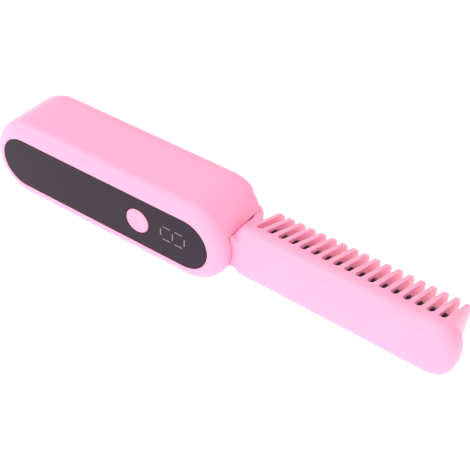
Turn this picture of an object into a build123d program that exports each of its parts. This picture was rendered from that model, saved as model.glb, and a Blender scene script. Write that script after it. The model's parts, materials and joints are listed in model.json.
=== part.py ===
"""Cordless heated hair comb that folds into its own handle.

While it is modelled, X runs along the handle towards the comb, Y from the control panel's face
(y = 0) to the handle's back, and Z across the panel, with the handle's middle at x = 0, z = 0.
The finished parts are moved so that the origin is the middle of the footprint on the resting side.
All sizes are in millimetres.
"""
import math
import os

from build123d import *

# ------------------------------------------------------------------ driving dimensions
handle_length = 120.0
handle_width = 36.2
handle_depth = 36.3
front_edge_radius = 5.8
back_edge_radius = 9.8
skin = 2.2
front_wall = 3.0

panel_x = -0.4
panel_length = 107.0
panel_width = 23.2
panel_thickness = 1.2
panel_gap = 0.1
ledge_y = 1.5
button_x = 18.8
button_radius = 5.5
button_proud = 0.3
button_travel = 0.35
display_x = 36.5
display_z = 0.3

hinge_x = 52.9
hinge_y = 21.65
hub_radius = 9.7
hub_half = 7.2
slot_half = 7.55
slot_front_y = 6.55
arm_reach = 14.7
tube_radius = 3.0
tube_bore = 2.2
tube_half = 10.0
running_gap = 0.05
bush_radius = 4.2
boss_radius = 6.4

comb_front_y = 6.95
comb_back_y = 15.05
comb_root_x = 58.6
comb_end_x = 157.1
comb_half_root = 11.6
comb_half_end = 12.2
comb_edge_radius = 5.4
comb_corner = 6.0
comb_wall = 1.5
comb_joint_y = 12.4
comb_lean = 0.7

fin_count = 18
fin_first_x = 63.1
fin_pitch = 4.883
fin_thickness = 1.97
fin_tip_y = 36.85
fin_tip_radius = 5.2
fin_edge_round = 0.55

bar_base_half = 8.5
bar_shoulder_y = 17.5
bar_shoulder_half = 8.2
bar_top_y = 25.3
bar_wall = 1.0
heater_seat_y = 17.1
bar_flange_y = 11.3
bar_flange_half = 9.5
bar_gap = 0.15

channel_wall = 1.2
channel_room = 0.7
channel_end_x = 2 * hinge_x - comb_end_x - channel_room
cheek_radius = 8.4
cheek_reach = 9.6
channel_foot_x = -44.1
channel_floor_y = 5.4
channel_shoulder_y = 28.3
knuckle_radius = 8.35

big = 400.0
pieces = {}


# ------------------------------------------------------------------ drawing helpers
def along_x(face, start, end):
    """A face drawn as (y, z), carried from x = start to x = end."""
    return extrude(Plane.YZ.offset(start) * face, end - start)


def along_y(face, start, end):
    """A face drawn as (x, z), carried from y = start to y = end."""
    return extrude(Plane.XZ.offset(-end) * face, end - start)


def along_z(face, start, end):
    """A face drawn as (x, y), carried from z = start to z = end."""
    return extrude(Plane.XY.offset(start) * face, end - start)


def block(x0, x1, y0, y1, z0, z1):
    """A plain block between two corners."""
    return Pos((x0 + x1) / 2, (y0 + y1) / 2, (z0 + z1) / 2) * Box(x1 - x0, y1 - y0, z1 - z0)


def soft_block(x0, x1, y0, y1, z0, z1, radius):
    """A block with every edge rounded."""
    solid = block(x0, x1, y0, y1, z0, z1)
    return fillet(solid.edges(), radius)


def outline(*points):
    """A closed face through straight sides."""
    return make_face(Polyline(*points, close=True))


def mirrored_outline(*half):
    """A closed face from the +z half of its outline, repeated below z = 0."""
    below = [(a, -b) for a, b in reversed(half) if b > 0]
    return outline(*half, *below)


def upper(solid):
    """The part of a solid above the middle plane."""
    return solid & block(-big, big, -big, big, 0, big)


def lower(solid):
    """The part of a solid below the middle plane."""
    return solid & block(-big, big, -big, big, -big, 0)


def wire_run(radius, bend, *points):
    """A round wire along straight runs joined by arcs of the radius bend."""
    path = FilletPolyline(*points, radius=bend) if len(points) > 2 else Line(*points)
    start = Plane(origin=points[0], z_dir=(Vector(*points[1]) - Vector(*points[0])))
    return sweep(start * Circle(radius), path=path)


# ------------------------------------------------------------------ handle: casing halves
def stadium_block(inset, y0, y1, front_radius, back_radius):
    """The handle's stadium form, drawn in by inset, with rounded front and back edges."""
    face = SlotOverall(handle_length - 2 * inset, handle_width - 2 * inset)
    solid = along_y(face, y0, y1)
    solid = fillet(solid.faces().sort_by(Axis.Y)[0].edges(), front_radius)
    return fillet(solid.faces().sort_by(Axis.Y)[-1].edges(), back_radius)


def fold_space(grow):
    """The space that the comb folds into, or with grow the block of walls around it.

    It joins a tapering channel for the fins, a slot for the hub, and a pocket that the
    comb's wide root sweeps through behind the hinge.
    """
    profile_half = comb_half_end + channel_room
    profile = mirrored_outline((handle_depth + 6, profile_half), (27.4, profile_half),
                               (9.0, 5.8), (channel_floor_y, 3.6))
    channel = along_x(offset(profile, grow), channel_end_x - grow, hinge_x)
    end_centre = channel_end_x + profile_half
    round_end = Pos(end_centre, 0) * Circle(profile_half + grow)
    round_end += Pos(end_centre + 60, 0) * Rectangle(120, 60)
    channel &= along_y(round_end, -big, big)
    cheek_round = Pos(hinge_x, hinge_y) * Circle(cheek_radius - grow).edge()
    cheek_side = Polyline((hinge_x - cheek_reach + grow, hinge_y), (hinge_x - cheek_reach + grow, -10),
                          (hinge_x, -10))
    channel -= along_z(make_hull([cheek_round, *cheek_side.edges()]), -big, big)
    end_slope = along_z(outline((-big, -10), (channel_foot_x - grow, -10),
                                (channel_foot_x - grow, channel_floor_y),
                                (channel_end_x - grow, channel_shoulder_y),
                                (-big, channel_shoulder_y)), -big, big)
    slot_face = Pos(hinge_x, hinge_y) * Circle(hinge_y - slot_front_y + grow)
    slot_face += Pos(hinge_x + 20, hinge_y + 5) * Rectangle(40, 2 * (hinge_y - slot_front_y + 5))
    slot = along_z(slot_face, -slot_half - grow, slot_half + grow)
    slot &= block(-big, big, slot_front_y - grow, big, -big, big)
    sweep_profile = mirrored_outline((0, slot_half), (knuckle_radius, slot_half),
                                     (knuckle_radius, profile_half), (16.0, profile_half))
    sweep_profile = Plane.XZ * (Pos(hinge_x, 0) * offset(sweep_profile, grow))
    sweep_profile = Pos(0, hinge_y, 0) * sweep_profile
    sweep_profile &= block(hinge_x, big, -big, big, -big, big)
    pocket = revolve(sweep_profile, Axis((hinge_x, hinge_y, 0), (0, 0, 1)), 180)
    return channel - end_slope + slot + pocket


outer = stadium_block(0, 0, handle_depth, front_edge_radius, back_edge_radius)
inner = stadium_block(skin, front_wall, handle_depth - skin,
                      front_edge_radius - skin - 0.8, back_edge_radius - skin)
casing = outer - inner + (fold_space(channel_wall) & outer)

board_half_length = 44.0
board_half_width = 9.0
board_y = 3.1
board_thickness = 1.0
tie_x = 49.0
tie_half = 5.5
tie_y = 2.5

# bosses: hinge cheeks, blocks under the tie plates, posts for the board's screws
post_points = [(x, z) for x in (-36.0, 34.0) for z in (-7.2, 7.2)]
casing += along_z(Pos(hinge_x, hinge_y) * Circle(boss_radius), -tube_half, tube_half) & outer
for side in (-1, 1):
    x = panel_x + side * tie_x
    casing += block(x - 3, x + 3, front_wall - 0.5, 6.4, -7, 7)
for x, z in post_points:
    casing += Pos(x, 0, z) * along_y(Circle(1.9), board_y + board_thickness, 11.0)

casing -= fold_space(0)
casing -= along_z(Pos(hinge_x, hinge_y) * Circle(bush_radius), -tube_half, tube_half)
panel_recess = Pos(panel_x, 0) * SlotOverall(panel_length + 2 * panel_gap,
                                             panel_width + 2 * panel_gap)
casing -= along_y(panel_recess, 0, ledge_y)
casing -= along_y(RectangleRounded(2 * board_half_length + 1, 2 * board_half_width + 1, 2),
                  0, board_y + board_thickness)
tie_screw_points = []
for side in (-1, 1):
    x = panel_x + side * tie_x
    casing -= block(x - 2.2, x + 2.2, 0, tie_y + 0.8, -tie_half, tie_half)
    for z in (-3.6, 3.6):
        tie_screw_points.append((x, z))
for x, z in tie_screw_points:
    casing -= Pos(x, 0, z) * along_y(Circle(0.8), 0, 6.3)
for x, z in post_points:
    casing -= Pos(x, 0, z) * along_y(Circle(0.8), 0, 9.5)

# the charging inlet's cut-out in the free end
port_y = 14.6
port_width = 8.94
port_height = 3.26
port_front_x = -handle_length / 2 + 0.7
port_length = 6.6
casing -= along_x(Pos(port_y, 0) * SlotOverall(port_width + 0.3, port_height + 0.3, rotation=90),
                  -handle_length / 2 - 1, port_front_x + 4)

pieces["handle_shell_upper"] = upper(casing)
pieces["handle_shell_lower"] = lower(casing)


# ------------------------------------------------------------------ handle: tie plates, screws
def screw(x, z, head_y, head_radius, head_height, shank_radius, length):
    """A pan-head screw along Y, its head's underside at y = head_y."""
    head = Pos(x, 0, z) * along_y(Circle(head_radius), head_y - head_height, head_y)
    head = fillet(head.edges().sort_by(Axis.Y)[0], head_height * 0.4)
    drive = along_y(Rectangle(head_radius * 1.1, 0.35) + Rectangle(0.35, head_radius * 1.1),
                    head_y - head_height, head_y - head_height * 0.5)
    shank = Pos(x, 0, z) * along_y(Circle(shank_radius), head_y, head_y + length)
    return head - Pos(x, 0, z) * drive + shank


plates = []
for side in (-1, 1):
    x = panel_x + side * tie_x
    plate = block(x - 2.1, x + 2.1, tie_y, tie_y + 0.8, -tie_half + 0.1, tie_half - 0.1)
    plate = fillet(plate.edges().filter_by(Axis.Y), 0.8)
    for z in (-3.6, 3.6):
        plate -= Pos(x, 0, z) * along_y(Circle(0.9), 0, 6)
    plates.append(plate)
pieces["shell_tie_plates"] = Compound(plates)
pieces["shell_tie_screws"] = Compound([
    screw(x, z, tie_y, 1.5, 0.85, 0.8, 3.6) for x, z in tie_screw_points])

# ------------------------------------------------------------------ handle: panel and display
stroke = 0.55
digit_low, digit_high = -2.95, 3.35
digit_left, digit_mid, digit_right = 30.55, 36.4, 42.2
half_mid = (digit_high + digit_low) / 2


def display_strokes(grow, y0, y1):
    """The seven bars of two digits that share their middle upright."""
    bars = []
    for x0, x1 in ((digit_left, digit_mid), (digit_mid, digit_right)):
        for z in (digit_low, digit_high):
            bars.append((x0 + 1.1, x1 - 1.1, z - stroke / 2, z + stroke / 2))
    for x in (digit_left, digit_mid, digit_right):
        bars.append((x - stroke / 2, x + stroke / 2, half_mid - 1.75, half_mid + 1.75))
    return [block(x0 - grow, x1 + grow, y0, y1, z0 + display_z - grow, z1 + display_z + grow)
            for x0, x1, z0, z1 in bars]


panel = along_y(Pos(panel_x, 0) * SlotOverall(panel_length, panel_width), 0, panel_thickness)
panel = chamfer(panel.faces().sort_by(Axis.Y)[0].edges(), 0.2)
panel -= along_y(Pos(button_x, 0) * Circle(button_radius + 0.2), 0, panel_thickness)
for bar in display_strokes(0, 0, 0.3):
    panel -= bar
pieces["control_panel"] = panel
pieces["display_segments"] = Compound(display_strokes(0, 0, 0.3))

gasket_face = Pos(panel_x, 0) * SlotOverall(panel_length - 0.4, panel_width - 0.4)
gasket_face -= Pos(panel_x, 0) * SlotOverall(panel_length - 3.6, panel_width - 3.6)
pieces["panel_gasket"] = along_y(gasket_face, panel_thickness, ledge_y)

display = block(display_x - 7, display_x + 7, panel_thickness + 0.15, board_y,
                display_z - 4.9, display_z + 4.9)
pieces["display_module"] = fillet(display.edges().filter_by(Axis.Y), 0.4)

# ------------------------------------------------------------------ button and its switch
cap = Pos(button_x, 0) * Circle(button_radius)
button = along_y(cap, -button_proud, panel_thickness + 0.15)
button = fillet(button.faces().sort_by(Axis.Y)[0].edges(), 0.5)
dish = Pos(button_x, -24.6, 0) * Sphere(24.6)
button -= Pos(0, -button_proud + 0.25, 0) * dish
button += along_y(Pos(button_x, 0) * Circle(button_radius + 0.8),
                  panel_thickness + 0.15, panel_thickness + 0.6)
button += along_y(Pos(button_x, 0) * Circle(1.2), panel_thickness + 0.6, panel_thickness + 0.8)
pieces["power_button"] = button

switch_top_y = panel_thickness + 0.8 + button_travel + 0.02
switch = block(button_x - 2.4, button_x + 2.4, switch_top_y + 0.2, board_y, -2.4, 2.4)
switch = fillet(switch.edges().filter_by(Axis.Y), 0.4)
switch += along_y(Pos(button_x, 0) * Circle(1.3), switch_top_y, switch_top_y + 0.2)
pieces["power_switch"] = switch

# ------------------------------------------------------------------ main board
board = along_y(RectangleRounded(2 * board_half_length, 2 * board_half_width, 1.5),
                board_y, board_y + board_thickness)
for x, z in post_points:
    board -= Pos(x, 0, z) * along_y(Circle(0.9), 0, 8)
pieces["main_board"] = board
pieces["board_screws"] = Compound([
    screw(x, z, board_y, 1.5, 0.9, 0.8, 6.0) for x, z in post_points])

chips = [(-4, 0, 5.0, 5.0, 0.9), (4, 5, 3.0, 3.0, 0.8), (-14, 4, 5.0, 4.0, 1.0),
         (-14, -4, 5.0, 4.0, 1.0), (-24, 0, 5.0, 5.0, 1.6), (9, -5, 2.0, 1.2, 0.6),
         (9, -2.5, 2.0, 1.2, 0.6), (-31, -4, 4.0, 3.0, 1.0), (4, -5, 2.0, 1.2, 0.6)]
pieces["board_components"] = Compound([
    block(x - w / 2, x + w / 2, board_y - h, board_y, z - d / 2, z + d / 2)
    for x, z, w, d, h in chips])

# ------------------------------------------------------------------ cells, charge board, wiring
cell_x0, cell_x1 = -45.5, 32.0
cell_y0, cell_y1 = 5.4, 20.0
cell_z0, cell_z1 = 11.5, 15.7
cell = soft_block(cell_x0, cell_x1, cell_y0, cell_y1, cell_z0, cell_z1, 1.2)
cell += block(cell_x1 - 1, cell_x1 + 2.5, cell_y0 + 3, cell_y1 - 3, 13.0, 14.2)
pieces["battery_upper"] = cell
pieces["battery_lower"] = mirror(cell, about=Plane.XY)
pad = block(-36, 24, cell_y0 + 3, cell_y1 - 3, cell_z1, handle_width / 2 - skin)
pieces["battery_pads"] = Compound([pad, mirror(pad, about=Plane.XY)])

charge_board_y = port_y + port_height / 2
charge_board = block(-55.6, -50.2, charge_board_y, charge_board_y + 1.0, -6.5, 6.5)
pieces["charge_board"] = charge_board
port = along_x(Pos(port_y, 0) * SlotOverall(port_width, port_height, rotation=90),
               port_front_x, port_front_x + port_length)
port -= along_x(Pos(port_y, 0) * SlotOverall(port_width - 0.6, port_height - 0.6, rotation=90),
                port_front_x, port_front_x + port_length - 0.8)
tongue = block(port_front_x + 0.6, port_front_x + port_length - 0.5,
               port_y - 0.35, port_y + 0.35, -3.2, 3.2)
pieces["charge_port"] = port + tongue

wire = 0.55
board_back_y = board_y + board_thickness
red_wires = []
black_wires = []
for side in (-1, 1):
    for bundle, out, along in ((red_wires, 4.6, 0.0), (black_wires, 6.6, 1.8)):
        bundle.append(wire_run(wire, 1.2,
                               (cell_x1 + 2.5, 10.5 + along, side * 13.6),
                               (cell_x1 + out, 10.5 + along, side * 13.6),
                               (cell_x1 + out, 7.5, side * 11.0),
                               (cell_x1 + out, 6.8, side * 8.3),
                               (cell_x1 + out, board_back_y, side * 8.3)))
pieces["battery_leads_red"] = Compound(red_wires)
pieces["battery_leads_black"] = Compound(black_wires)
pieces["charge_lead"] = wire_run(0.8, 1.6, (-51.2, charge_board_y, 5.4), (-51.2, 12.8, 5.4),
                                 (-50.9, 7.6, 8.9), (-43.5, 7.2, 8.6), (-40.0, 7.0, 8.0),
                                 (-40.0, board_back_y, 8.0))

# ------------------------------------------------------------------ hinge
tube = along_z(Pos(hinge_x, hinge_y) * (Circle(tube_radius) - Circle(tube_bore)),
               -tube_half, tube_half)
wire_way = outline((hinge_x - 1.5, hinge_y), (hinge_x - 0.7, comb_front_y + 1.9),
                   (comb_root_x + 8, comb_front_y + 1.9), (comb_root_x + 8, comb_joint_y - 0.4),
                   (hinge_x + 3.2, comb_joint_y - 0.4), (hinge_x + 2.0, hinge_y))
wire_passage = along_z(wire_way, -1.7, 1.7)
tube -= wire_passage
pieces["hinge_tube"] = tube

bushes = []
washers = []
for side in (-1, 1):
    sleeve = Circle(bush_radius) - Circle(tube_radius + running_gap)
    bush = along_z(sleeve, slot_half, tube_half)
    bushes.append(Pos(hinge_x, hinge_y) * (bush if side > 0 else mirror(bush, about=Plane.XY)))
    ring = along_z(Circle(6.0) - Circle(tube_radius + 0.1), hub_half, hub_half + 0.25)
    washers.append(Pos(hinge_x, hinge_y) * (ring if side > 0 else mirror(ring, about=Plane.XY)))
pieces["hinge_bushes"] = Compound(bushes)
pieces["friction_washers"] = Compound(washers)


# ------------------------------------------------------------------ comb: spine shell with hub
def comb_plan(inset):
    """The comb's outline seen from the front: rounded root corners and a full-round end."""
    half_root = comb_half_root - inset
    half_end = comb_half_end - inset
    end_centre = comb_end_x - comb_half_end
    root = comb_root_x + inset
    top_edge = Line((root, half_root), (end_centre, half_end))
    end_arc = ThreePointArc((end_centre, half_end), (end_centre + half_end, 0),
                            (end_centre, -half_end))
    low_edge = Line((end_centre, -half_end), (root, -half_root))
    root_edge = Line((root, -half_root), (root, half_root))
    plan = make_face(Curve() + [top_edge, end_arc, low_edge, root_edge])
    return fillet(plan.vertices().group_by(Axis.X)[0], comb_corner - inset)


def comb_body(inset, y0, y1, edge_radius):
    """A length of the comb's body with its front edge rounded."""
    solid = along_y(comb_plan(inset), y0, y1)
    if edge_radius:
        solid = fillet(solid.faces().sort_by(Axis.Y)[0].edges(), edge_radius)
    return solid


spine = comb_body(0, comb_front_y, comb_joint_y, comb_edge_radius)
spine_cavity = comb_body(comb_wall, comb_front_y + comb_wall, comb_joint_y,
                         comb_edge_radius - comb_wall)
neck_bar = block(hinge_x - 1, comb_root_x + 9, comb_front_y, comb_joint_y, -hub_half, hub_half)
neck_bar = fillet(neck_bar.edges().filter_by(Axis.X).group_by(Axis.Y)[0], 1.2)
heel_angle = math.radians(-107)
heel_reach = arm_reach - 2.6
heel = Circle(2.6).edge()
heel = Pos(hinge_x + heel_reach * math.cos(heel_angle),
           hinge_y + heel_reach * math.sin(heel_angle)) * heel
foot = Pos(hinge_x, hinge_y - arm_reach + 2.6) * Circle(2.6).edge()
hub_edge = Pos(hinge_x, hinge_y) * Circle(hub_radius).edge()
hub = along_z(make_hull([hub_edge, heel, foot]), -hub_half, hub_half)
shell = spine - (spine_cavity & block(comb_root_x + 5.5, big, -big, big, -big, big))
shell += hub + (neck_bar - block(comb_root_x + 5.5, big, comb_front_y + 1, big, -big, big))
shell -= along_z(Pos(hinge_x, hinge_y) * Circle(tube_radius), -hub_half, hub_half)
shell -= wire_passage
pieces["comb_shell"] = shell


# ------------------------------------------------------------------ comb: guard with its fins
def fin_base_half(x):
    """Half the comb's width at x, where a fin starts."""
    share = (x - comb_root_x) / (comb_end_x - comb_half_end - comb_root_x)
    half = comb_half_root + (comb_half_end - comb_half_root) * share
    corner = comb_root_x + comb_corner - x
    if corner > 0:
        half -= comb_corner - math.sqrt(comb_corner ** 2 - corner ** 2)
    return half


def fin_outline(base_half):
    """A fin seen along the comb: straight flanks that run into a round tip."""
    centre_y = fin_tip_y - fin_tip_radius
    reach = math.hypot(centre_y - comb_back_y, base_half)
    flank_slope = math.atan2(base_half, centre_y - comb_back_y) - math.asin(fin_tip_radius / reach)
    touch = (centre_y + fin_tip_radius * math.sin(flank_slope),
             fin_tip_radius * math.cos(flank_slope))
    flank = Line((comb_back_y, base_half), touch)
    tip = ThreePointArc(touch, (fin_tip_y, 0), (touch[0], -touch[1]))
    other = Line((touch[0], -touch[1]), (comb_back_y, -base_half))
    foot_line = Polyline((comb_back_y, -base_half), (comb_joint_y + 0.6, -base_half),
                         (comb_joint_y + 0.6, base_half), (comb_back_y, base_half))
    return make_face(Curve() + [flank, tip, other, foot_line])


def bar_arch(grow):
    """The hot bar's section above its flange: flat sides and an arched top."""
    shoulder = bar_shoulder_half + grow
    base = bar_base_half + grow
    top = bar_top_y + grow
    sides = Polyline((bar_shoulder_y, -shoulder), (comb_joint_y - 1, -base),
                     (comb_joint_y - 1, base), (bar_shoulder_y, shoulder))
    crown = Spline((bar_shoulder_y, shoulder), (bar_shoulder_y + 0.79 * (top - bar_shoulder_y),
                                                 0.68 * shoulder), (top, 0),
                   (bar_shoulder_y + 0.79 * (top - bar_shoulder_y), -0.68 * shoulder),
                   (bar_shoulder_y, -shoulder),
                   tangents=((1, 0), (-1, 0)))
    return make_face(Curve() + [sides, crown])


last_fin_x = fin_first_x + (fin_count - 1) * fin_pitch
bar_x0 = fin_first_x + fin_pitch + 0.6
bar_x1 = last_fin_x - 0.15
guard = comb_body(0, comb_joint_y, comb_back_y, 0)
for number in range(fin_count - 1):
    x = fin_first_x + number * fin_pitch
    fin = along_x(fin_outline(fin_base_half(x + fin_thickness / 2)), x, x + fin_thickness)
    rim = fin.edges().filter_by(lambda edge: edge.center().Y > comb_back_y + 1)
    rim = rim.filter_by(GeomType.LINE, reverse=True) + rim.filter_by(GeomType.LINE).filter_by(
        Axis.Y, reverse=True).filter_by(Axis.X, reverse=True)
    guard += fillet(rim, fin_edge_round)

# the last fin flares into the comb's rounded end
end_side = Spline((comb_end_x, comb_joint_y + 0.6), (156.4, 17.3), (154.4, 22.8), (151.4, 29.2),
                  (148.4, fin_tip_y + 0.5), tangents=((0, 1), (-0.3, 1)))
end_rest = Polyline((148.4, fin_tip_y + 0.5), (last_fin_x, fin_tip_y + 0.5),
                    (last_fin_x, comb_joint_y + 0.6), (comb_end_x, comb_joint_y + 0.6))
end_fin = along_z(make_face(Curve() + [end_side, end_rest]), -20, 20)
end_fin &= along_x(fin_outline(comb_half_end), last_fin_x, comb_end_x)
end_fin &= comb_body(0, comb_joint_y, 60, 0)
guard += end_fin

guard -= hub
guard -= along_x(bar_arch(bar_gap), bar_x0 - bar_gap, bar_x1 + bar_gap)
guard -= block(bar_x0 - 1.5, bar_x1 + 1.5, comb_joint_y - 1, comb_joint_y + 1.0,
               -bar_flange_half - 0.1, bar_flange_half + 0.1)
pieces["comb_teeth"] = guard

# ------------------------------------------------------------------ hot bar and its heater
bar = along_x(bar_arch(0), bar_x0, bar_x1) & block(0, big, comb_joint_y + 0.5, big, -20, 20)
bar_hollow = block(bar_x0 + 2, bar_x1 - 2, 0, heater_seat_y,
                   bar_wall - bar_shoulder_half, bar_shoulder_half - bar_wall)
bar_hollow += along_x(bar_arch(-bar_wall), bar_x0 - 1, bar_x1 + 1) & block(
    0, big, heater_seat_y + bar_wall, big, -20, 20)
flange = block(bar_x0 - 1.3, bar_x1 + 1.3, bar_flange_y, comb_joint_y + 0.9,
               -bar_flange_half, bar_flange_half)
hot_bar = bar + flange - bar_hollow
pieces["heating_bar"] = hot_bar

pill_y0, pill_y1 = 14.4, 16.6
pills = [block(x - 9, x + 9, pill_y0, pill_y1, -5.0, 5.0) for x in (85.0, 108.0, 131.0)]
pieces["heater_pills"] = Compound(pills)
heater_x0, heater_x1 = 74.5, 141.5
electrodes = [block(heater_x0, heater_x1, pill_y1, pill_y1 + 0.3, -5.0, 5.0),
              block(heater_x0 - 2, heater_x1, pill_y0 - 0.3, pill_y0, -5.0, 5.0)]
pieces["heater_electrodes"] = Compound(electrodes)
film = block(heater_x0 - 0.5, heater_x1 + 0.5, pill_y0 - 0.5, pill_y1 + 0.5, -5.3, 5.3)
film -= block(heater_x0 - 3, heater_x1 + 0.3, pill_y0 - 0.3, pill_y1 + 0.3, -5.0, 5.0)
pieces["heater_film"] = film
clip_face = outline((heater_x0, 13.9), (heater_x0 + 8, 12.6), (heater_x0 + 16, 13.9),
                    (heater_x0 + 26, 13.9), (heater_x0 + 34, 12.6), (heater_x0 + 42, 13.9),
                    (heater_x0 + 51, 13.9), (heater_x0 + 59, 12.6), (heater_x1, 13.9),
                    (heater_x1, 13.5), (heater_x0 + 59, 12.2), (heater_x0 + 51, 13.5),
                    (heater_x0 + 42, 13.5), (heater_x0 + 34, 12.2), (heater_x0 + 26, 13.5),
                    (heater_x0 + 16, 13.5), (heater_x0 + 8, 12.2), (heater_x0, 13.5))
pieces["heater_clip"] = along_z(clip_face, -3.5, 3.5)
pieces["thermal_fuse"] = fillet(block(heater_x0 + 20, heater_x0 + 30, 9.2, 11.0, 3.0, 6.2)
                                .edges().filter_by(Axis.X), 0.7)
pieces["temperature_sensor"] = fillet(block(heater_x0 + 44, heater_x0 + 48, 9.4, 11.0, -4.0, -2.2)
                                      .edges().filter_by(Axis.X), 0.6)

# ------------------------------------------------------------------ heater wiring
pieces["heater_lead_handle"] = wire_run(
    0.9, 2.0, (41.9, board_back_y, 7.9), (41.9, 7.0, 7.9), (42.6, 10.5, 12.4),
    (44.0, 16.5, 13.0), (46.5, hinge_y, 13.0), (hinge_x - 0.6, hinge_y, tube_half + 0.95))
pieces["heater_lead_comb"] = wire_run(
    0.9, 1.8, (hinge_x, hinge_y, tube_half - 0.6), (hinge_x, hinge_y, 0),
    (hinge_x + 0.9, 10.6, 0), (heater_x0 - 1, 10.2, 0))


# ------------------------------------------------------------------ place and write
comb_nodes = ["comb_shell", "comb_teeth", "heating_bar", "heater_pills", "heater_electrodes",
              "heater_film", "heater_clip", "thermal_fuse", "temperature_sensor",
              "heater_lead_comb", "hinge_tube", "friction_washers"]
hinge_point = Pos(hinge_x, hinge_y, 0)
lean_back = hinge_point * Rot(0, 0, -comb_lean) * hinge_point.inverse()
for name in comb_nodes:
    pieces[name] = lean_back * pieces[name]

everything = Compound(list(pieces.values()))
span = everything.bounding_box()
to_footprint = Pos(-(span.min.X + span.max.X) / 2, -(span.min.Y + span.max.Y) / 2, -span.min.Z)
os.makedirs("parts", exist_ok=True)
for name, piece in pieces.items():
    export_step(to_footprint * piece, f"parts/{name}.step")
print("overall", span.size, "hinge", to_footprint * hinge_point)
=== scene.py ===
"""A cordless heated hair comb, opened out from its handle, on a pale studio floor."""
import json
import math

import bmesh
import bpy
import numpy as np
from mathutils import Matrix, Vector


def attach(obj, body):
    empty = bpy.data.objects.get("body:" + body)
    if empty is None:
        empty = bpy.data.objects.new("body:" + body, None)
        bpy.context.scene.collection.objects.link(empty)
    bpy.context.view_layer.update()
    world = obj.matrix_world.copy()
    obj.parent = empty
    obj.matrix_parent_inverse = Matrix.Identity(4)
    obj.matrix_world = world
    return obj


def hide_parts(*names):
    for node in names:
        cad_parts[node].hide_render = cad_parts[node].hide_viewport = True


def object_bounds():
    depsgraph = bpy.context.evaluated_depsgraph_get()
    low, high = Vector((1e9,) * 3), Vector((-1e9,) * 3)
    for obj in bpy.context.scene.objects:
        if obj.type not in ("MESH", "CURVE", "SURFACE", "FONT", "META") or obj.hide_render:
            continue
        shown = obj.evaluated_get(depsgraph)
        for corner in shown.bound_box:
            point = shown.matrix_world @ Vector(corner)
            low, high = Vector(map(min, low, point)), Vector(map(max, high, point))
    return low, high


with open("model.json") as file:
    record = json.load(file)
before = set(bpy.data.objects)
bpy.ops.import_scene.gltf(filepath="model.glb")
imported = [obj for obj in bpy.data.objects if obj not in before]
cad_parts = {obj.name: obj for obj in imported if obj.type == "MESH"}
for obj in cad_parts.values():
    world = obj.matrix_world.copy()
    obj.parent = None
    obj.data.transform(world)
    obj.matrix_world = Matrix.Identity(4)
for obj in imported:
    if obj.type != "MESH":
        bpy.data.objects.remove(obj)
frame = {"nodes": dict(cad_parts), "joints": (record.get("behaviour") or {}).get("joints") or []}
cad_low, cad_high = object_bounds()
nodes = frame["nodes"]

# ---------------------------------------------------------------- camera
# A long lens looks down on the panel side from the comb's end, so that the handle runs away
# to the upper left and the fins of the comb stand up towards the upper right.
comb_hinge = next(joint for joint in frame["joints"] if joint["name"] == "comb_hinge")
hinge_place = Vector(comb_hinge["pos_m"])
camera_place = hinge_place + Vector((0.176424, -0.269819, 0.275288))
camera_right = Vector((0.816738, 0.575898, 0.035793))
camera_forward = Vector((-0.415869, 0.630516, -0.655364))
lens_mm, sensor_mm = 81.713, 36.0
nearest_seen = 0.01

camera_up = camera_right.cross(camera_forward).normalized()
camera_data = bpy.data.cameras.new("camera")
camera_data.lens = lens_mm
camera_data.sensor_width = sensor_mm
camera_data.clip_start = nearest_seen
camera = bpy.data.objects.new("camera", camera_data)
camera_turn = Matrix((camera_right, camera_up, -camera_forward)).transposed()
camera.matrix_world = Matrix.Translation(camera_place) @ camera_turn.to_4x4()
bpy.context.scene.collection.objects.link(camera)
bpy.context.scene.camera = camera


# ---------------------------------------------------------------- studio
# A white light table, which glows a little so that the object hardly casts a shadow, under a
# soft sky that is brighter on the panel's side, with a long strip light for the edges' sheen.
floor_half = 3.0
floor_grey, floor_glow, floor_roughness = 0.55, 0.95, 0.9
sky_mean, sky_swing = 1.05, 0.8
sky_bright_side = Vector((-0.10, -0.90, 0.25))
sky_cool, sky_warm = (1.0, 1.0, 1.0, 1), (1.0, 0.99, 0.84, 1)
strip_way = (-0.416, -0.252, 0.8735)
strip_distance, strip_length, strip_width, strip_watts = 0.8, 1.8, 0.05, 2.5


def new_mesh(name, points, faces):
    """A mesh object made of an array of points and a list or array of faces."""
    mesh = bpy.data.meshes.new(name)
    mesh.from_pydata(np.asarray(points, float).tolist(), [], [list(face) for face in faces])
    mesh.update()
    made = bpy.data.objects.new(name, mesh)
    bpy.context.scene.collection.objects.link(made)
    return made


def new_material(name):
    """A material whose only nodes are a Principled shader and the output, with its tree."""
    material = bpy.data.materials.new(name)
    material.use_nodes = True
    tree = material.node_tree
    tree.nodes.clear()
    shader = tree.nodes.new("ShaderNodeBsdfPrincipled")
    output = tree.nodes.new("ShaderNodeOutputMaterial")
    tree.links.new(shader.outputs["BSDF"], output.inputs["Surface"])
    return material, tree, shader


def strip_light(name, aim, way, distance, length, width, watts):
    """A long light parallel to X that shines on the point aim from the direction way."""
    data = bpy.data.lights.new(name, "AREA")
    data.shape = "RECTANGLE"
    data.size = length
    data.size_y = width
    data.energy = watts
    light = bpy.data.objects.new(name, data)
    back = Vector(way).normalized()
    side = (Vector((1, 0, 0)) - back * back.x).normalized()
    facing = Matrix((side, back.cross(side), back)).transposed()
    light.matrix_world = Matrix.Translation(Vector(aim) + back * distance) @ facing.to_4x4()
    bpy.context.scene.collection.objects.link(light)


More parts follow.
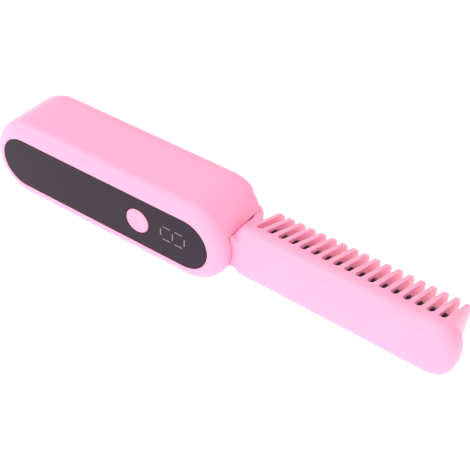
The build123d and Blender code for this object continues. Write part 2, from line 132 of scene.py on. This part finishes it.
floor = new_mesh("floor", [(-floor_half, -floor_half, 0), (floor_half, -floor_half, 0),
                           (floor_half, floor_half, 0), (-floor_half, floor_half, 0)],
                 [(0, 1, 2, 3)])
floor_white, _, floor_shader = new_material("floor_white")
floor_shader.inputs["Base Color"].default_value = (floor_grey, floor_grey, floor_grey, 1)
floor_shader.inputs["Roughness"].default_value = floor_roughness
floor_shader.inputs["Specular IOR Level"].default_value = 0.0
floor_shader.inputs["Emission Color"].default_value = (1, 1, 1, 1)
floor_shader.inputs["Emission Strength"].default_value = floor_glow
floor.data.materials.append(floor_white)

# the sky's strength and its tint both follow how near a direction is to the bright side
sky = bpy.data.worlds.new("sky")
sky.use_nodes = True
sky_tree = sky.node_tree
background = sky_tree.nodes["Background"]
sky_way = sky_tree.nodes.new("ShaderNodeTexCoord")
sky_side = sky_tree.nodes.new("ShaderNodeVectorMath")
sky_side.operation = "DOT_PRODUCT"
sky_side.inputs[1].default_value = sky_bright_side.normalized()
sky_light = sky_tree.nodes.new("ShaderNodeMapRange")
sky_light.inputs["From Min"].default_value = -1.0
sky_light.inputs["To Min"].default_value = sky_mean - sky_swing
sky_light.inputs["To Max"].default_value = sky_mean + sky_swing
sky_share = sky_tree.nodes.new("ShaderNodeMapRange")
sky_share.inputs["From Min"].default_value = -1.0
sky_tint = sky_tree.nodes.new("ShaderNodeValToRGB")
sky_tint.color_ramp.elements[0].color = sky_cool
sky_tint.color_ramp.elements[1].color = sky_warm
for source, target in ((sky_way.outputs["Generated"], sky_side.inputs[0]),
                       (sky_side.outputs["Value"], sky_light.inputs["Value"]),
                       (sky_light.outputs["Result"], background.inputs["Strength"]),
                       (sky_side.outputs["Value"], sky_share.inputs["Value"]),
                       (sky_share.outputs["Result"], sky_tint.inputs["Fac"]),
                       (sky_tint.outputs["Color"], background.inputs["Color"])):
    sky_tree.links.new(source, target)
bpy.context.scene.world = sky
bpy.context.scene.view_settings.view_transform = "Standard"
strip_light("edge_light", (cad_low + cad_high) / 2, strip_way, strip_distance, strip_length,
            strip_width, strip_watts)


# ---------------------------------------------------------------- casing halves
# The handle's casing is two injection mouldings in satin pink plastic that meet on the middle
# plane. The mould leaves a fine even grain and very slight flow clouds in the colour.
casing_pink = (0.985, 0.33, 0.545)
cloud_detail, grain_detail = 3.0, 2.0
light_reach, light_depth = (1.0, 0.35, 0.5), 0.0015


def add_group(name, inputs, outputs):
    """An empty shader node group with named input and output sockets, floats or colours."""
    group = bpy.data.node_groups.new(name, "ShaderNodeTree")
    for way, sockets in (("INPUT", inputs), ("OUTPUT", outputs)):
        for label, kind in sockets:
            group.interface.new_socket(label, in_out=way, socket_type=kind)
    return group, group.nodes.new("NodeGroupInput"), group.nodes.new("NodeGroupOutput")


def noise_in(group, size, detail):
    """A noise on Object coordinates inside a group, its scale fed by the socket size."""
    where = group.nodes.new("ShaderNodeTexCoord")
    noise = group.nodes.new("ShaderNodeTexNoise")
    noise.inputs["Detail"].default_value = detail
    group.links.new(where.outputs["Object"], noise.inputs["Vector"])
    group.links.new(size, noise.inputs["Scale"])
    return noise.outputs["Fac"]


def spread(group, source, low, high=None):
    """A 0-1 value spread from the socket low to the socket high, or to 1 where none is given."""
    ramp = group.nodes.new("ShaderNodeMapRange")
    group.links.new(source, ramp.inputs["Value"])
    group.links.new(low, ramp.inputs["To Min"])
    if high is not None:
        group.links.new(high, ramp.inputs["To Max"])
    return ramp.outputs["Result"]


# moulded_skin: clouds shift the colour's brightness a little, and a fine grain gives a height
moulded_skin, skin_in, skin_out = add_group(
    "moulded_skin",
    [("Colour", "NodeSocketColor"), ("Cloud Size", "NodeSocketFloat"),
     ("Cloud Depth", "NodeSocketFloat"), ("Grain Size", "NodeSocketFloat"),
     ("Roughness", "NodeSocketFloat"), ("Roughness Spread", "NodeSocketFloat")],
    [("Colour", "NodeSocketColor"), ("Roughness", "NodeSocketFloat"), ("Height", "NodeSocketFloat")])
clouds = noise_in(moulded_skin, skin_in.outputs["Cloud Size"], cloud_detail)
grain = noise_in(moulded_skin, skin_in.outputs["Grain Size"], grain_detail)
darkest = moulded_skin.nodes.new("ShaderNodeMath")
darkest.operation = "SUBTRACT"
darkest.inputs[0].default_value = 1.0
moulded_skin.links.new(skin_in.outputs["Cloud Depth"], darkest.inputs[1])
roughest = moulded_skin.nodes.new("ShaderNodeMath")
roughest.operation = "ADD"
moulded_skin.links.new(skin_in.outputs["Roughness"], roughest.inputs[0])
moulded_skin.links.new(skin_in.outputs["Roughness Spread"], roughest.inputs[1])
cloud_value = spread(moulded_skin, clouds, darkest.outputs[0])
rough_value = spread(moulded_skin, clouds, skin_in.outputs["Roughness"], roughest.outputs[0])
tinted = moulded_skin.nodes.new("ShaderNodeVectorMath")
tinted.operation = "SCALE"
moulded_skin.links.new(skin_in.outputs["Colour"], tinted.inputs[0])
moulded_skin.links.new(cloud_value, tinted.inputs["Scale"])
for source, label in ((tinted.outputs["Vector"], "Colour"), (rough_value, "Roughness"),
                      (grain, "Height")):
    moulded_skin.links.new(source, skin_out.inputs[label])


def plastic(name, colour, roughness, roughness_spread=0.05, cloud_size=60.0, cloud_depth=0.03,
            grain_size=2600.0, grain_height=0.00002):
    """A moulded plastic: the skin group feeds colour, roughness and a very shallow bump."""
    material, tree, shader = new_material(name)
    skin = tree.nodes.new("ShaderNodeGroup")
    skin.node_tree = moulded_skin
    for label, value in (("Colour", (*colour, 1)), ("Cloud Size", cloud_size),
                         ("Cloud Depth", cloud_depth), ("Grain Size", grain_size),
                         ("Roughness", roughness), ("Roughness Spread", roughness_spread)):
        skin.inputs[label].default_value = value
    bump = tree.nodes.new("ShaderNodeBump")
    bump.inputs["Distance"].default_value = grain_height
    tree.links.new(skin.outputs["Colour"], shader.inputs["Base Color"])
    tree.links.new(skin.outputs["Roughness"], shader.inputs["Roughness"])
    tree.links.new(skin.outputs["Height"], bump.inputs["Height"])
    tree.links.new(bump.outputs["Normal"], shader.inputs["Normal"])
    return material, shader


def let_light_in(shader, weight):
    """Makes a plastic slightly translucent. Red light reaches furthest into it."""
    shader.inputs["Subsurface Weight"].default_value = weight
    shader.inputs["Subsurface Radius"].default_value = light_reach
    shader.inputs["Subsurface Scale"].default_value = light_depth


def dress(material, *names):
    """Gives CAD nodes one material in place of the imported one."""
    for name in names:
        nodes[name].data.materials.clear()
        nodes[name].data.materials.append(material)


casing_plastic, casing_shader = plastic("casing_plastic", casing_pink, roughness=0.36)
let_light_in(casing_shader, weight=0.12)
dress(casing_plastic, "handle_shell_upper", "handle_shell_lower")

# ---------------------------------------------------------------- control panel
# The panel is a black-tinted acrylic sheet with a polished face, cut to a round-ended shape
# and glued on a foam ring. No words are printed on it. The cells lie on pads of the same foam.
panel_tint, panel_shine = (0.024, 0.014, 0.027), 0.12
foam_black = (0.02, 0.02, 0.022)

panel_black, panel_shader = plastic("panel_black", panel_tint, roughness=0.16,
                                    roughness_spread=0.03, cloud_size=25.0, cloud_depth=0.05,
                                    grain_height=0.000002)
panel_shader.inputs["Specular IOR Level"].default_value = panel_shine
dress(panel_black, "control_panel")
gasket_foam, _ = plastic("gasket_foam", foam_black, roughness=0.85, roughness_spread=0.1,
                         cloud_size=900.0, cloud_depth=0.3)
dress(gasket_foam, "panel_gasket", "battery_pads")

# ---------------------------------------------------------------- display
# Seven unlit bars of two digits are let into the panel, flush with its face. They are a smoky
# grey plastic, and a dark display block stands behind them.
unlit_grey = (0.16, 0.15, 0.17)

bar_grey, _ = plastic("bar_grey", unlit_grey, roughness=0.3, cloud_size=400.0, cloud_depth=0.15)
dress(bar_grey, "display_segments")

# ---------------------------------------------------------------- power button
# The button is a dished pink cap, moulded a little glossier than the casing. It slides in a
# round hole of the panel, over its switch.
button_pink = (0.985, 0.31, 0.50)

button_plastic, _ = plastic("button_plastic", button_pink, roughness=0.3)
dress(button_plastic, "power_button")

# ---------------------------------------------------------------- comb
# The comb's back with its hub is one moulding, in nearly the same pink as the casing, and it
# turns on the hinge tube. Its far end is drawn in from a half circle to a flatter round.
mm = 0.001
comb_pink = (0.985, 0.335, 0.545)
hinge_in_handle = Vector((52.9, 21.65, 0.0)) * mm
end_x, end_half = 157.1 * mm, 12.2 * mm
end_centre_x = end_x - end_half
end_draw = 0.17
copy_weld = 0.001 * mm
smooth_below = math.radians(32)

comb_plastic, comb_shader = plastic("comb_plastic", comb_pink, roughness=0.38)
let_light_in(comb_shader, weight=0.2)
dress(comb_plastic, "comb_shell", "comb_teeth")


def merged_copy(node, name):
    """A copy of a CAD node's mesh with its loose triangles joined, as an object."""
    copy = bpy.data.objects.new(name, nodes[node].data.copy())
    bpy.context.scene.collection.objects.link(copy)
    shape = bmesh.new()
    shape.from_mesh(copy.data)
    bmesh.ops.remove_doubles(shape, verts=shape.verts, dist=copy_weld)
    shape.to_mesh(copy.data)
    shape.free()
    return copy


def end_round(out):
    """Where the end's half circle is drawn in to: out, which is 0 at its centre and 1 at its
    tip, less a share of out cubed."""
    return out - end_draw * out ** 3


def finish_in(made, material):
    """Smooths a piece's shading, but for its sharp edges, and gives it one material."""
    made.data.shade_smooth()
    made.data.set_sharp_from_angle(angle=smooth_below)
    made.data.materials.clear()
    made.data.materials.append(material)


def flatten_end(mesh):
    """Draws in what lies past the end's centre, by the rule of end_round."""
    flat = np.empty(3 * len(mesh.vertices))
    mesh.vertices.foreach_get("co", flat)
    points = flat.reshape(-1, 3)
    centre_x = hinge_place.x + end_centre_x - hinge_in_handle.x
    out = np.clip((points[:, 0] - centre_x) / end_half, 0, 1)
    points[:, 0] += (end_round(out) - out) * end_half
    mesh.vertices.foreach_set("co", points.ravel())
    mesh.update()


comb_back = merged_copy("comb_shell", "comb_back")
flatten_end(comb_back.data)
finish_in(comb_back, comb_plastic)
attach(comb_back, "comb")
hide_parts("comb_shell")

# ---------------------------------------------------------------- guard with its fins
# The guard is one pink moulding that closes the comb's back: a rim, seventeen thin fins parted
# by U-shaped gaps, and an end fin that flares into the rim. It traps the hot bar's flange.
# Sizes are in the handle's own axes: x runs along it, and y from the panel to the back.
comb_lean = math.radians(0.7)
rim_front_y, rim_back_y = 12.42 * mm, 14.6 * mm
rim_middle_y, rim_curve_y = 13.2 * mm, 13.7 * mm
root_x, root_half, root_corner = 58.6 * mm, 11.6 * mm, 6.0 * mm
end_length = end_half * (1 - end_draw)
fin_count, fin_first_x, fin_pitch = 18, 63.1 * mm, 4.883 * mm
gap_root, gap_top = 1.37 * mm, 1.65 * mm
tip_radius, foot_round, rim_round = 4.9 * mm, 7.0 * mm, 0.65 * mm
tip_top_y, tip_line_y, tip_line_lean = 36.7 * mm, 37.5 * mm, math.radians(0.9)
flare_x, flare_lean, flare_reach = 153.0 * mm, 0.225, 1.7 * mm
end_fin_drop = 0.5 * mm
rim_rows, foot_rows, flank_rows, tip_rows = 5, 10, 16, 12
root_columns, end_columns = 8, 17
guard_weld, sliver_below = 0.03 * mm, 0.002 * mm
rounded_above_y, rounded_from = rim_back_y - 0.6 * mm, math.radians(45)
rounding_steps = 3


def half_width(x):
    """Half the rim's width at x: straight sides that widen slowly, and round root corners."""
    straight = root_half + (end_half - root_half) * (x - root_x) / (end_centre_x - root_x)
    short = np.clip(root_x + root_corner - x, 0, root_corner)
    return straight - (root_corner - np.sqrt(root_corner ** 2 - short ** 2))


def fin_half(y, base, tip_y):
    """Half a fin's width at height y: an arc at its foot, then a straight flank that leans in
    until it is the tangent of the tip's circle, then that circle."""
    centre_y = tip_y - tip_radius
    rise = centre_y - rim_back_y
    slope = np.arctan2(base, rise) - np.arcsin(tip_radius / np.hypot(rise, base))
    reach = foot_round * np.tan(slope / 2)
    up_arc = np.clip(y - rim_back_y + reach, 0, foot_round)
    arc = base - foot_round + np.sqrt(foot_round ** 2 - up_arc ** 2)
    straight = base - (y - rim_back_y) * np.tan(slope)
    tip = np.sqrt(np.clip(tip_radius ** 2 - (y - centre_y) ** 2, 0, None))
    upper = np.where(y > centre_y + tip_radius * np.sin(slope), tip, straight)
    return np.where(y < rim_back_y + reach * np.cos(slope), arc, upper)


def end_reach(y):
    """How far out the end fin goes: a line that leans in, and a swell into the rim's round end
    that fades as one plus u times e to the minus u, where u is the height over flare_reach."""
    up = np.clip(y - rim_back_y, 0, None)
    swell = (1 + up / flare_reach) * np.exp(-up / flare_reach)
    return flare_x - flare_lean * up + (end_centre_x + end_length - flare_x) * swell


def fin_heights(tip_y, base):
    """Heights of a fin's rows, close together round the gap's foot and round the tip."""
    centre_y = tip_y - tip_radius
    slope = np.arctan2(base, centre_y - rim_back_y)
    foot = rim_back_y + gap_root * (1 - np.cos(np.linspace(0, np.pi / 2, foot_rows)))
    flank = np.linspace(foot[-1], centre_y + tip_radius * np.sin(slope / 2), flank_rows)[1:]
    tip = centre_y + tip_radius * np.sin(np.linspace(slope / 2, np.pi / 2, tip_rows))[1:]
    return np.concatenate([foot, flank, tip])


def gap_inset(y, tip_y):
    """How far a fin's side stands in from the middle of the gap: a quarter arc, then a taper."""
    up = np.clip(y - rim_back_y, 0, gap_root)
    arc = np.sqrt(np.clip(gap_root ** 2 - (gap_root - up) ** 2, 0, None))
    climb = np.clip((y - rim_back_y - gap_root) / (tip_y - rim_back_y - gap_root), 0, 1)
    return arc + (gap_top - gap_root) * climb


def ring_faces(rows, columns):
    """Quads between stacked closed rings of points."""
    row, column = np.meshgrid(np.arange(rows - 1), np.arange(columns), indexing="ij")
    a = row * columns + column
    b = row * columns + (column + 1) % columns
    return np.stack([a, b, b + columns, a + columns], axis=-1).reshape(-1, 4)


def bridge_faces(first, count):
    """Quads across a mirrored ring, from each point on one side to its mirror image."""
    near = first + np.arange(count - 1)
    far = first + 2 * count - 1 - np.arange(count - 1)
    return np.stack([near, near + 1, far - 1, far], axis=-1)


def mirrored_ring(x, z):
    """A closed ring from its +z side, the other side added in reverse order."""
    return np.concatenate([x, x[..., ::-1]], -1), np.concatenate([z, -z[..., ::-1]], -1)


def as_points(x, y, z):
    """Rings of x and z at the heights y, as one array of points."""
    return np.stack([x, np.broadcast_to(y[:, None], x.shape), z], axis=-1).reshape(-1, 3)


gap_middles = fin_first_x - gap_root + fin_pitch * np.arange(fin_count)
end_turn = np.linspace(np.pi / 2, 0, end_columns)
guard_points, guard_faces = [], []


def add_rings(points, faces):
    """Adds a stack of rings to the guard."""
    start = sum(len(block) for block in guard_points)
    guard_points.append(points)
    guard_faces.extend((faces + start).tolist())


# the rim: rings of one outline, closed over the whole front but at the back only at the root
rim_y = np.concatenate([[rim_front_y, rim_middle_y],
                        np.linspace(rim_curve_y, rim_back_y, rim_rows)])
root_turn = np.arccos(1 - (gap_middles[0] - root_x) / root_corner)
root_side_x = root_x + root_corner * (1 - np.cos(np.linspace(0, root_turn, root_columns)))
side_x = np.concatenate([root_side_x, gap_middles[1:]])
side_z = fin_half(rim_y[:, None], half_width(side_x)[None, :], tip_top_y)
end_z = fin_half(rim_y, end_half, tip_top_y)
x = np.concatenate([np.broadcast_to(side_x, side_z.shape),
                    np.broadcast_to(end_centre_x + end_half * end_round(np.cos(end_turn)),
                                    (len(rim_y), len(end_turn)))], -1)
z = np.concatenate([side_z, end_z[:, None] * np.sin(end_turn)], -1)
ring_x, ring_z = mirrored_ring(x, z)
half_count = x.shape[1]
last_ring = (len(rim_y) - 1) * 2 * half_count
rim_faces = [ring_faces(len(rim_y), 2 * half_count), bridge_faces(0, half_count),
             bridge_faces(last_ring, half_count)[:len(root_side_x) - 1]]
add_rings(as_points(ring_x, rim_y, ring_z), np.concatenate(rim_faces))

# the fins: each is a stack of rings from the middle of one gap to the middle of the next
for number in range(fin_count):
    left = gap_middles[number]
    is_end = number == fin_count - 1
    middle = left + fin_pitch / 2
    tip_y = min(tip_top_y, tip_line_y - (middle - fin_first_x) * math.sin(tip_line_lean))
    tip_y += (middle - hinge_in_handle.x) * math.sin(comb_lean) - end_fin_drop * is_end
    y = fin_heights(tip_y, root_half)
    inset = gap_inset(y, tip_y)
    if is_end:
        start_x = (left + inset)[:, None]
        centre_x = np.maximum(start_x, end_centre_x)
        flare = (end_reach(y)[:, None] - centre_x) * end_round(np.cos(end_turn)) / (1 - end_draw)
        z_half = fin_half(y, end_half, tip_y)
        x = np.concatenate([start_x, centre_x + flare], -1)
        z = np.concatenate([z_half[:, None], z_half[:, None] * np.sin(end_turn)], -1)
    else:
        x = np.stack([left + inset, left + fin_pitch - inset], -1)
        z = fin_half(y[:, None], half_width(np.array([left, left + fin_pitch]))[None, :], tip_y)
    ring_x, ring_z = mirrored_ring(x, z)
    add_rings(as_points(ring_x, y, ring_z), ring_faces(len(y), ring_x.shape[1]))


def lean_back(points):
    """Takes points from the handle's axes to the frame's, turned about the hinge by the lean."""
    lean = np.array(Matrix.Rotation(-comb_lean, 3, "Z"))
    return (points - np.array(hinge_in_handle)) @ lean.T + np.array(hinge_place)


def handle_height(vertex):
    """A vertex's y in the handle's axes, near enough: the lean is added back by its sine."""
    lean_rise = (vertex.co.x - hinge_place.x) * math.sin(comb_lean)
    return vertex.co.y + lean_rise + hinge_in_handle.y - hinge_place.y


# the sharp edges from the rim's back upwards are rounded, so that gaps and fins have soft lips
guard = new_mesh("comb_guard", lean_back(np.concatenate(guard_points)), guard_faces)
shape = bmesh.new()
shape.from_mesh(guard.data)
bmesh.ops.remove_doubles(shape, verts=shape.verts, dist=guard_weld)
bmesh.ops.recalc_face_normals(shape, faces=shape.faces)
weight = shape.edges.layers.float.new("bevel_weight_edge")
for edge in shape.edges:
    is_high = min(handle_height(vertex) for vertex in edge.verts) > rounded_above_y
    if is_high and edge.is_manifold and edge.calc_face_angle() > rounded_from:
        edge[weight] = 1.0
shape.to_mesh(guard.data)
shape.free()
soften = guard.modifiers.new("round_rims", "BEVEL")
soften.limit_method = "WEIGHT"
soften.width = rim_round
soften.segments = rounding_steps

# room for the hot bar: an arch with straight sides under its crown, and a wide slot below it
# for the flange
arch_x = np.array([68.433, 146.111]) * mm
arch_base, arch_shoulder, arch_power = 8.65 * mm, 8.35 * mm, 2.3
arch_shoulder_y, arch_top_y = 17.5 * mm, 25.45 * mm
crown_rows = 20
flange_x = np.array([67.083, 147.461]) * mm
flange_y, flange_half = 13.4 * mm, 9.6 * mm
below_rim_y = rim_front_y - 1 * mm


def prism(name, x, y, z):
    """A closed bar along X between two x values, its section given by one side's y and z."""
    section = np.stack([np.concatenate([y, y[::-1]]), np.concatenate([z, -z[::-1]])], -1)
    count = len(section)
    points = np.concatenate([np.column_stack([np.full(count, x_end), section]) for x_end in x])
    faces = ring_faces(2, count).tolist() + [range(count), range(2 * count - 1, count - 1, -1)]
    made = new_mesh(name, lean_back(points), faces)
    shape = bmesh.new()
    shape.from_mesh(made.data)
    bmesh.ops.recalc_face_normals(shape, faces=shape.faces)
    shape.to_mesh(made.data)
    shape.free()
    return made


# the crown is a superellipse: its rise and its half width go as a power of a turn's sine and
# cosine
crown_turn = np.linspace(0, np.pi / 2, crown_rows)
crown_rise = (arch_top_y - arch_shoulder_y) * np.sin(crown_turn) ** (2 / arch_power)
crown_half = arch_shoulder * np.cos(crown_turn) ** (2 / arch_power)
cutters = [prism("arch_room", arch_x,
                 np.concatenate([[below_rim_y], arch_shoulder_y + crown_rise]),
                 np.concatenate([[arch_base], crown_half])),
           prism("flange_room", flange_x, np.array([below_rim_y, flange_y]),
                 np.array([flange_half, flange_half]))]
for cutter in cutters:
    cut = guard.modifiers.new(cutter.name, "BOOLEAN")
    cut.operation = "DIFFERENCE"
    cut.solver = "EXACT"
    cut.object = cutter
guard_cut = guard.evaluated_get(bpy.context.evaluated_depsgraph_get())
finished = bpy.data.meshes.new_from_object(guard_cut)
shape = bmesh.new()
shape.from_mesh(finished)
bmesh.ops.dissolve_degenerate(shape, edges=shape.edges, dist=sliver_below)
shape.to_mesh(finished)
shape.free()
guard.modifiers.clear()
guard.data = finished
for cutter in cutters:
    bpy.data.objects.remove(cutter)
finish_in(guard, comb_plastic)
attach(guard, "comb")
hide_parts("comb_teeth")

# ---------------------------------------------------------------- hot bar
# The hot bar is an aluminium extrusion with a smooth black ceramic coat. Its flange is held
# between the guard and the comb's back.
coat_black, coat_shine = (0.006, 0.002, 0.004), 0.3

bar_black, bar_shader = plastic("bar_black", coat_black, roughness=0.18, roughness_spread=0.06,
                                cloud_size=200.0, cloud_depth=0.2)
bar_shader.inputs["Specular IOR Level"].default_value = coat_shine
dress(bar_black, "heating_bar")

# ---------------------------------------------------------------- inner pieces
# What the casing hides: the boards, cells, wires and the heater, each in its own finish but
# for the friction washers, whose colour is painted shade. A line gives a finish's name, its
# colour, its roughness and the pieces that it is on.
inner_colours = {
    "dark_moulding": ((0.02, 0.02, 0.022), 0.5, ("display_module", "power_switch",
                                                 "board_components", "temperature_sensor")),
    "board_green": ((0.01, 0.11, 0.05), 0.35, ("main_board", "charge_board")),
    "bearing_pink": (casing_pink, 0.42, ("hinge_bushes",)),
    # the friction washers are a dark rose of painted shade: where they show through the slot between
    # hub and cheek, it stands in for the shade in the crease there
    "washer_painted_shade": ((0.22, 0.05, 0.10), 0.6, ("friction_washers",)),
    "fuse_white": ((0.75, 0.75, 0.72), 0.4, ("thermal_fuse",)),
    "wire_red": ((0.5, 0.01, 0.01), 0.4, ("battery_leads_red",)),
    "wire_black": ((0.015, 0.015, 0.015), 0.4, ("battery_leads_black",)),
    "wire_white": ((0.7, 0.7, 0.68), 0.45, ("charge_lead", "heater_lead_handle",
                                            "heater_lead_comb")),
    "film_amber": ((0.55, 0.22, 0.02), 0.2, ("heater_film",)),
    "heater_stone": ((0.5, 0.46, 0.40), 0.8, ("heater_pills",)),
}
for finish_name, (colour, roughness, dressed) in inner_colours.items():
    finish, _ = plastic(finish_name, colour, roughness)
    dress(finish, *dressed)

# the metals are bare, and vary more in how rough they are
metal_spread = 0.12
metal_colours = {
    "plain_steel": ((0.56, 0.56, 0.58), 0.3, ("shell_tie_plates", "shell_tie_screws",
                                              "board_screws", "hinge_tube", "heater_clip",
                                              "charge_port")),
    "cell_foil": ((0.62, 0.63, 0.66), 0.35, ("battery_upper", "battery_lower")),
    "brass_strip": ((0.78, 0.56, 0.24), 0.3, ("heater_electrodes",)),
}
for finish_name, (colour, roughness, dressed) in metal_colours.items():
    finish, shader = plastic(finish_name, colour, roughness, roughness_spread=metal_spread)
    shader.inputs["Metallic"].default_value = 1.0
    dress(finish, *dressed)
